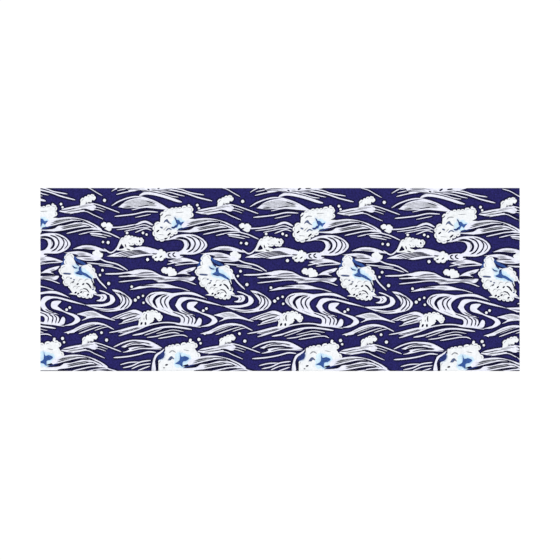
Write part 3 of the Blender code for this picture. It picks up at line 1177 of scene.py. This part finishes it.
def cotton(name, woven):
    """Dyed cotton: the dye comes from the mesh, and the weave, slubs and mottling from noise; on woven cloth, painted
    shade darkens the weave's hollows.
    """
    material = bpy.data.materials.new(name)
    nodes = Nodes(material)
    shader = nodes.tree.nodes["Principled BSDF"]
    shader.inputs["Metallic"].default_value = 0.0
    shader.inputs["Specular IOR Level"].default_value = 0.12
    shader.inputs["Sheen Weight"].default_value = SHEEN
    shader.inputs["Sheen Roughness"].default_value = 0.45
    place = nodes.add("ShaderNodeTexCoord").outputs["Object"]
    dye = nodes.add("ShaderNodeAttribute", attribute_name="dye").outputs["Color"]
    slubs = nodes.add("ShaderNodeMapping")
    slubs.inputs["Scale"].default_value = (60, 900, 60)
    nodes.feed(slubs.inputs["Vector"], place)
    weft_slubs = nodes.add("ShaderNodeMapping")
    weft_slubs.inputs["Scale"].default_value = (900, 60, 60)
    nodes.feed(weft_slubs.inputs["Vector"], place)
    streaks = nodes.math("ADD", nodes.noise(slubs.outputs[0], 1.0), nodes.noise(weft_slubs.outputs[0], 1.0))
    mottle = nodes.noise(place, 90.0, 4.0)
    tone = nodes.math("ADD", nodes.math("MULTIPLY", streaks, STREAKS), nodes.math("MULTIPLY", mottle, MOTTLE))
    even = 1.0 - STREAKS - MOTTLE / 2
    parts = nodes.add("ShaderNodeSeparateColor")
    nodes.feed(parts.inputs[0], dye)
    depth = nodes.math("SUBTRACT", 1.0, parts.outputs["Green"])
    patches = nodes.math("SUBTRACT", nodes.noise(place, UPTAKE_SCALE, 3.0), 0.5)
    tone = nodes.math("ADD", tone, nodes.math("MULTIPLY", nodes.math("MULTIPLY", patches, UPTAKE), depth))
    if woven:
        split = nodes.add("ShaderNodeSeparateXYZ")
        nodes.feed(split.inputs[0], place)
        height, yarn_tone = plain_weave(nodes, split.outputs["Y"], split.outputs["X"])
        tone = nodes.math("ADD", tone, nodes.math("MULTIPLY", yarn_tone, YARN_TONE))
        # Painted shade: the base colour is darker in the weave's hollows between the yarns, lighter on their crowns.
        tone = nodes.math("ADD", tone, nodes.math("MULTIPLY", height, HOLLOW_PAINTED_SHADE))
        even = even - YARN_TONE / 2 - HOLLOW_PAINTED_SHADE * MEAN_HEIGHT
    else:
        height = nodes.noise(place, 5000.0)
    tone = nodes.math("ADD", tone, even)
    shade = nodes.add("ShaderNodeVectorMath", operation="SCALE")
    nodes.feed(shade.inputs[0], dye)
    nodes.feed(shade.inputs["Scale"], tone)
    nodes.feed(shader.inputs["Base Color"], shade.outputs[0])
    rough = nodes.math("ADD", nodes.math("MULTIPLY", mottle, 0.12), 0.82)
    nodes.feed(shader.inputs["Roughness"], rough)
    bump = nodes.add("ShaderNodeBump")
    bump.inputs["Strength"].default_value = 0.45
    bump.inputs["Distance"].default_value = 0.12 * MM
    nodes.feed(bump.inputs["Height"], height)
    nodes.feed(shader.inputs["Normal"], bump.outputs[0])
    return material


# Studio

def studio():
    """A pale floor, soft even light and a camera straight above, as the photograph is taken."""
    world = bpy.data.worlds.new("studio")
    world.use_nodes = True
    world.node_tree.nodes["Background"].inputs["Color"].default_value = (1.0, 1.0, 1.0, 1.0)
    world.node_tree.nodes["Background"].inputs["Strength"].default_value = WORLD_LIGHT
    bpy.context.scene.world = world
    bpy.context.scene.view_settings.view_transform = "Standard"

    sun = bpy.data.lights.new("soft_key", "SUN")
    sun.energy = KEY_LIGHT
    sun.angle = math.radians(50)
    key = bpy.data.objects.new("soft_key", sun)
    key.rotation_euler = (math.radians(-18), math.radians(-14), 0)
    bpy.context.scene.collection.objects.link(key)

    bpy.ops.mesh.primitive_plane_add(size=FLOOR_SIZE, location=(0, 0, LOW.z - FLOOR_GAP))
    floor = bpy.context.object
    floor.name = "floor"
    paper = bpy.data.materials.new("pale_paper")
    nodes = Nodes(paper)
    shader = nodes.tree.nodes["Principled BSDF"]
    shader.inputs["Base Color"].default_value = (0.94, 0.94, 0.94, 1.0)
    shader.inputs["Roughness"].default_value = 0.95
    shader.inputs["Specular IOR Level"].default_value = 0.1
    floor.data.materials.append(paper)

    lens = bpy.data.cameras.new("overhead")
    lens.lens = LENS
    lens.sensor_width = SENSOR
    camera = bpy.data.objects.new("overhead", lens)
    frame_width = LENGTH * MM * PHOTO_WIDTH / TOWEL_PIXELS
    height = frame_width * LENS / SENSOR
    pixel = frame_width / PHOTO_WIDTH
    middle = (LOW + HIGH) / 2
    camera.location = (middle.x, middle.y - TOWEL_RISE * pixel, SELVEDGE_THICKNESS * MM + height)
    bpy.context.scene.collection.objects.link(camera)
    bpy.context.scene.camera = camera


def main():
    studio()
    shapes = draw(LENGTH, WIDTH)
    mesh, corners, triangles, dye = cloth_mesh(shapes)
    cloth = add_object("wave_cloth", mesh, cotton("dyed_cotton_cloth", True))
    yarns = add_object("cut_end_yarns", frayed_ends(corners, triangles, dye), cotton("dyed_cotton_yarn", False))
    for piece in (cloth, yarns):
        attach(piece, "root")
        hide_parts("towel")


main()
